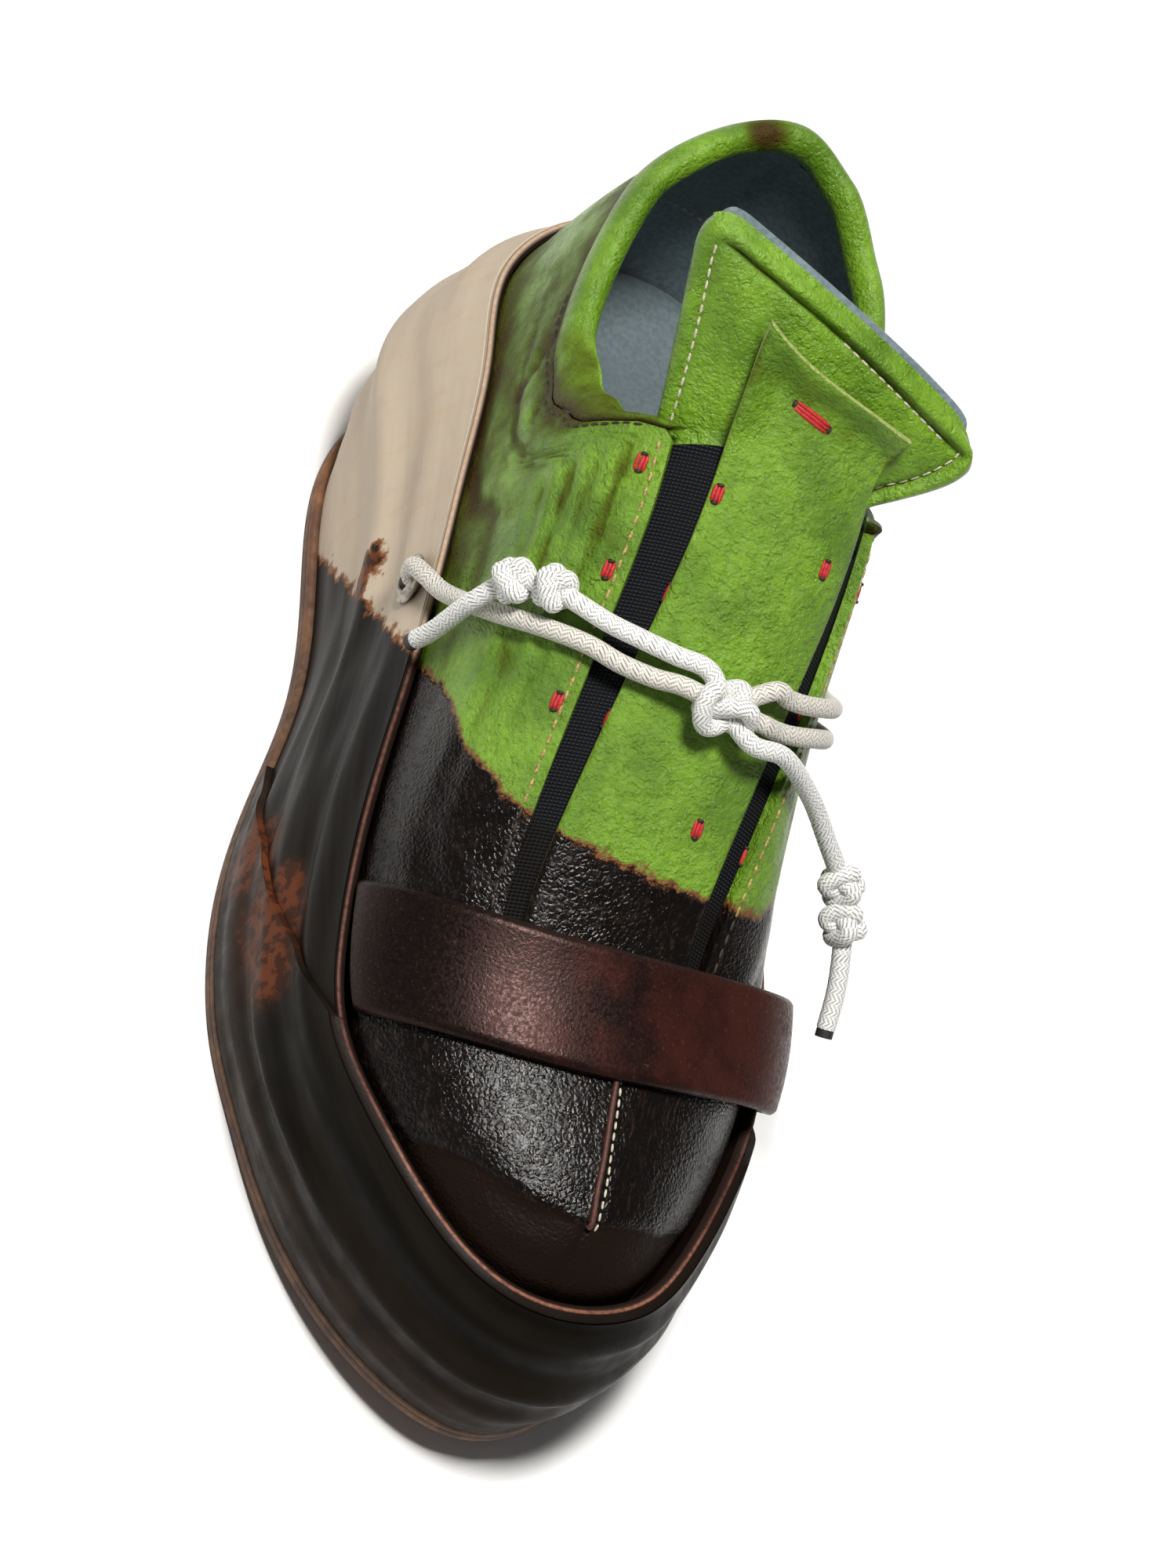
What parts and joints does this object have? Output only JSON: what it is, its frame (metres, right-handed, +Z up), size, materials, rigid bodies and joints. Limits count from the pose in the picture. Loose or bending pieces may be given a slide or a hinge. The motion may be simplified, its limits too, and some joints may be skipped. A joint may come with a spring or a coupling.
{
  "type": "platform slip-on shoe",
  "caption": "Slip-on shoe with a leather-covered wedge and front platform, padded collar and tongue, elastic gores, vamp strap and a knotted cord through the sole.",
  "frame": {"origin": "on the floor plane under the outsole, on the shoe's centre line below the instep", "axes": "+Z up, the toe points to -Y, +X is the inner (medial) side of a right shoe"},
  "size_m": [0.1142, 0.2592, 0.1522],
  "materials": {
    "sole_cover_cream": "waxed smooth leather, lightly streaked",
    "sole_cover_dark": "dip-dyed leather with a soft gloss",
    "outsole_tan": "matt rubber",
    "insole_grey": "matt leather",
    "upper_green": "burnished leather, soft gloss",
    "collar_green": "padded leather, soft gloss",
    "tongue_green": "padded leather, soft gloss",
    "elastic_black": "ribbed elastic",
    "strap_brown": "polished leather",
    "eyelet_grey": "dull enamel",
    "lace_white": "braided cord"
  },
  "bodies": {
    "root": {"wedge": "sole_cover_cream", "front_platform": "sole_cover_dark", "outsole": "outsole_tan", "insole": "insole_grey", "upper": "upper_green", "collar": "collar_green", "tongue": "tongue_green", "instep_strip": "upper_green", "elastic_gore_lateral": "elastic_black", "elastic_gore_medial": "elastic_black", "vamp_strap": "strap_brown", "eyelet_lateral": "eyelet_grey", "eyelet_medial": "eyelet_grey", "lace_bar_lateral": "lace_white", "lace_bar_medial_front": "lace_white", "lace_bar_medial_back": "lace_white", "lace_end_lateral": "lace_white", "lace_end_medial": "lace_white", "lace_knot": "lace_white"}
  },
  "joints": []
}
